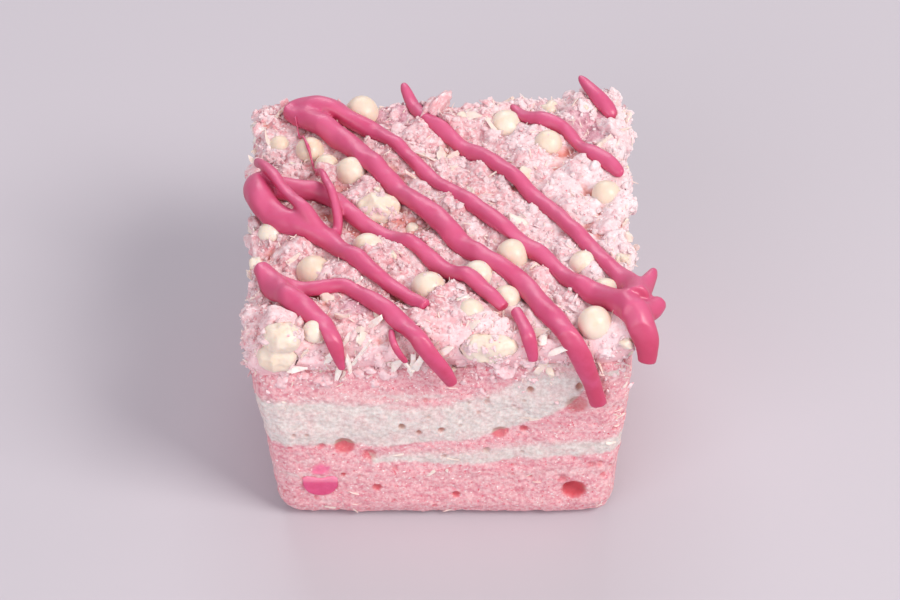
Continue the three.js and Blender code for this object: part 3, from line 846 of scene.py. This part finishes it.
add_bits(
    "crushed_lumps", lumpy_balls(4, 30, 0.5, 0.45), crumb_finish,
    count=120, size=4.6 * MM, spread=0.25, flatness=0.55, sink=0.25, spill=0.4 * MM,
)
add_bits(
    "crushed_chips", lumpy_balls(3, 24, 0.45, 0.5), crumb_finish,
    count=330, size=2.3 * MM, spread=0.25, flatness=0.6, sink=0.2, spill=1.1 * MM,
)
add_bits(
    "loose_crumbs", lumpy_balls(2, 24, 0.6, 0.4), crumb_finish,
    count=1100, size=1.05 * MM, spread=0.25, flatness=0.8, sink=0.1, spill=2.2 * MM,
)
add_bits(
    "fine_crumbs", lumpy_balls(1, 24, 0.7, 0.4), crumb_finish,
    count=6500, size=0.48 * MM, spread=0.3, flatness=0.9, sink=-0.1, spill=1.8 * MM,
)

# Among the crumb lie bits that broke off the lumps of white chocolate.
add_bits(
    "broken_chocolate", lumpy_balls(3, 20, 0.4, 0.6), chocolate_finish,
    count=60, size=2.2 * MM, spread=0.3, flatness=0.7, sink=0.15, spill=0.6 * MM,
)

# A dusting of the finest crumb sticks in patches to the pearls and the lumps of chocolate.
DUSTED = ((pearls, 200, 0.34 * MM), (chunks, 900, 0.65 * MM))
DUST_FLATNESS = 0.6

dust_forms, dust_faces = lumpy_balls(1, 12, 0.9, 0.4)
batches = []
for pieces, count, size in DUSTED:
    spots, normals = spots_on(pieces, count)
    caught = waves(spots, 3.5 * MM, 210) > 0.1
    spots, normals = spots[caught], normals[caught]
    sizes = size * randoms.lognormal(0, 0.4, (len(spots), 1)) * randoms.uniform(0.6, 1.5, (len(spots), 3))
    sizes[:, 2] *= DUST_FLATNESS
    batches.append(strew(dust_forms, dust_faces, spots, turned(normals), sizes))
joined("crumb_dust", batches, 1, crumb_finish)

# A flake is a thin plate with a torn edge.
PLATE_CORNERS = 6
turn = np.arange(PLATE_CORNERS) / PLATE_CORNERS * 2 * math.pi
edge = np.stack([np.cos(turn), np.sin(turn), turn * 0], 1) * 0.5
plate = np.concatenate([[(0, 0, 0.5)], edge, [(0, 0, -0.5)]])
following = [(i + 1) % PLATE_CORNERS for i in range(PLATE_CORNERS)]
upper = [(0, 1 + i, 1 + j) for i, j in enumerate(following)]
lower = [(PLATE_CORNERS + 1, 1 + j, 1 + i) for i, j in enumerate(following)]
plates = plate[None] * randoms.uniform(0.5, 1.5, (24, len(plate), 1)) * (1, 0.7, 1)
add_bits(
    "loose_flakes", (plates, np.array(upper + lower)), crumb_finish,
    count=1100, size=1.4 * MM, spread=0.3, flatness=0.16, sink=-1.0, spill=1.6 * MM, smooth=False,
)

# --- The coconut --------------------------------------------------------------------------------------
# Dried coconut, cut into shreds of up to 7 mm. Most stand in the topping's cut front, near its left, and
# others lie about on top, with broad flakes and threads. Short ones were stirred into the foam, and lie flat
# in its sides.

# Coconut is dense and waxy, so it is creamier than the crumb and has a dull shine.
coconut_finish, place = new_finish(
    "dried_coconut",
    Roughness=0.5,
    Subsurface_Weight=0.3,
    Subsurface_Radius=(1, 0.7, 0.5),
    Subsurface_Scale=0.8 * MM,
    IOR=1.44,
)
# Painted light: only the shreds in the cut front reach the whitest colour, which makes up for the weaker
# light there.
colour = painted(coconut_finish, "#f1dfd5", "#fff6ee", "tone", 0.8, 1)
colour = speckled(coconut_finish, colour, "#f3d6d2", place, 1.2 * MM, 3, 0.5, 0.75)
feed(coconut_finish, "Base Color", colour)

# Broad flakes lie flatter than those of crumb, and are slightly bent.
add_bits(
    "coconut_flakes", lumpy_balls(3, 16, 0.55, 0.5), coconut_finish,
    count=60, size=2.7 * MM, spread=0.25, flatness=0.2, sink=0.1, spill=1.2 * MM,
)

# Across, up, how far they lean to the right in degrees, and how long.
FRONT_SHREDS = (
    (-18.5, 43.5, 20, 7.0),
    (-17.0, 45.8, 32, 6.5),
    (-15.2, 43.0, 26, 7.2),
    (-19.2, 39.5, 8, 6.5),
    (-17.5, 40.5, -6, 5.0),
    (-20.6, 42.0, 36, 5.0),
    (-13.6, 45.0, 42, 5.5),
    (-6.5, 40.0, 6, 6.2),
    (-7.9, 41.0, -22, 5.0),
    (-5.2, 41.4, 15, 5.6),
    (-9.2, 39.6, 32, 3.6),
    (-1.0, 43.4, 52, 3.8),
    (19.0, 44.5, 60, 4.6),
    (-26.5, 39.0, 70, 3.8),
)
OUT_OF_FRONT = 0.9 * MM  # how far they stand before the crumb
FORWARD_LEAN = -0.15  # they lean a little out of it
SHREDS_ON_TOP = 60
LIFTED = 0.2 * MM  # how far what lies on top is above the crumb

# A shred is a bar of four sides, which narrows to both ends.
RING = np.array([(-1, -0.6), (1, -0.6), (0.8, 0.6), (-0.8, 0.6)]) / 2
PROFILE = ((-0.5, 0.5), (-0.2, 1), (0.2, 0.9), (0.5, 0.4))  # how far along, and how wide
bar = np.array([(x * wide, y * wide, at) for at, wide in PROFILE for x, y in RING])
bar_faces = [(3, 2, 1, 0), (12, 13, 14, 15)]
sides = [
    (4 * ring + i, 4 * ring + (i + 1) % 4, 4 * ring + 4 + (i + 1) % 4, 4 * ring + 4 + i)
    for ring in range(3)
    for i in range(4)
]
bar_faces = np.array(sides + bar_faces)
bars = bar[None] + randoms.normal(size=(16, *bar.shape)) * (0.12, 0.12, 0.03)

bed_tree = tree_of([topping])
spots = []
directions = []
for across, up, lean, _ in FRONT_SHREDS:
    found, _, _, _ = bed_tree.ray_cast((across * MM, topping_low.y - 10 * MM, up * MM), (0, 1, 0))
    spots.append(found + Vector((0, -OUT_OF_FRONT, 0)))
    directions.append((math.sin(math.radians(lean)), FORWARD_LEAN, math.cos(math.radians(lean))))
lengths = np.array([shred[3] for shred in FRONT_SHREDS]) * MM
on_top, top_normals = clear_spots(SHREDS_ON_TOP, 0.5 * MM, 0.5 * MM)
spots = np.concatenate([np.array(spots), on_top + top_normals * LIFTED])
lying = np.cross(top_normals, randoms.normal(size=on_top.shape)) + top_normals * 0.15
directions = np.concatenate([np.array(directions), lying])
lengths = np.concatenate([lengths, randoms.uniform(2, 5, len(on_top)) * MM])
widths = randoms.uniform(0.9, 1.5, len(spots)) * MM
thicknesses = randoms.uniform(0.6, 1.0, len(spots)) * MM
sizes = np.stack([widths, thicknesses, lengths], 1)
batch = strew(bars, bar_faces, spots, turned(directions), sizes)
tones = randoms.random(len(spots)) * 0.8
tones[: len(FRONT_SHREDS)] = 1  # painted light: the cut front gets less light, so these are painted whitest
joined("coconut_shreds", (batch,), np.repeat(tones, len(bar)), coconut_finish)

# Those in the foam keep clear of its bubbles and of the candy drop.
SHREDS_IN_FOAM = 45
ROOM = 1.5  # in millimetres, round each
drop_middle = (drop_low + drop_high) / 2 / MM
kept_clear = [bubble_row[:3] for bubble_row in FRONT_BUBBLES]
kept_clear.append((drop_middle.x, drop_middle.z, (drop_high.x - drop_low.x) / MM))

points, normals = points_of(foam.data), normals_of(foam.data)
plain = np.abs(normals[:, 2]) < 0.4
for across, up, width in kept_clear:
    plain &= np.hypot(points[:, 0] - across * MM, points[:, 2] - up * MM) > (width / 2 + ROOM) * MM
chosen = randoms.choice(np.flatnonzero(plain), SHREDS_IN_FOAM)
spots, normals = points[chosen], normals[chosen]
directions = np.cross(normals, randoms.normal(size=normals.shape) * (1, 1, 2))
lengths = randoms.uniform(1, 2.4, len(spots))
sizes = np.stack([np.full(len(spots), 0.6), np.full(len(spots), 0.35), lengths], 1) * MM
batch = strew(bars, bar_faces, spots, turned(directions), sizes)
joined("foam_shreds", (batch,), 0.8, coconut_finish)

# Threads as thin as a hair make the crumb look woolly.
THREADS = 1400
spots, normals = clear_spots(THREADS, 0.3 * MM, 1.5 * MM)
directions = normals * 0.5 + randoms.normal(size=normals.shape)
lengths = randoms.uniform(0.8, 2.0, len(spots))
sizes = np.stack([np.full(len(spots), 0.26), np.full(len(spots), 0.2), lengths], 1) * MM
batch = strew(bars, bar_faces, spots + normals * LIFTED, turned(directions), sizes)
joined("coconut_threads", (batch,), 0.8, coconut_finish)

# --- The floor and the light --------------------------------------------------------------------------
# A plain pale floor under the soft light of a studio: a large lamp from the upper right, a weaker one from
# the left that keeps the shadows open, and one from behind.

FLOOR_SIZE = 6
CLOUD_SIZE = 0.6  # of the floor's faint unevenness in shade

# Matt paper takes soft shadows and shows no reflections.
floor_finish, place = new_finish("pale_paper", Roughness=0.9)
feed(floor_finish, "Base Color", speckled(floor_finish, "#c2bdc6", "#c8c3cc", place, CLOUD_SIZE))

bpy.ops.mesh.primitive_plane_add(size=FLOOR_SIZE)
floor = bpy.context.object
floor.name = "floor"
floor.data.materials.append(floor_finish)
floor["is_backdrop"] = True


def soft_lamp(name, place, size, watts, colour):
    light = bpy.data.lights.new(name, "AREA")
    light.size = size
    light.energy = watts
    light.color = linear(colour)[:3]
    lamp = bpy.data.objects.new(name, light)
    lamp.location = place
    lamp.rotation_euler = (Vector(place) - aim).to_track_quat("Z", "Y").to_euler()
    bpy.context.scene.collection.objects.link(lamp)


soft_lamp("key", (0.65, -0.45, 0.8), 0.5, 9, "#fffaf4")
soft_lamp("fill", (-0.5, -0.9, 0.5), 0.9, 5.3, "#f9f7fc")
soft_lamp("back", (-0.1, 0.8, 0.7), 0.6, 3.6, "#fbfbff")
world = bpy.data.worlds.new("studio")
world.use_nodes = True
world.node_tree.nodes["Background"].inputs["Color"].default_value = linear("#f6f0f1")
world.node_tree.nodes["Background"].inputs["Strength"].default_value = 0.44
bpy.context.scene.world = world
bpy.context.scene.view_settings.view_transform = "Standard"  # so that a hex value comes out as it is

sizes = {"cad": [list(corner) for corner in cad_box], "visual": [list(corner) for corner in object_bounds()]}
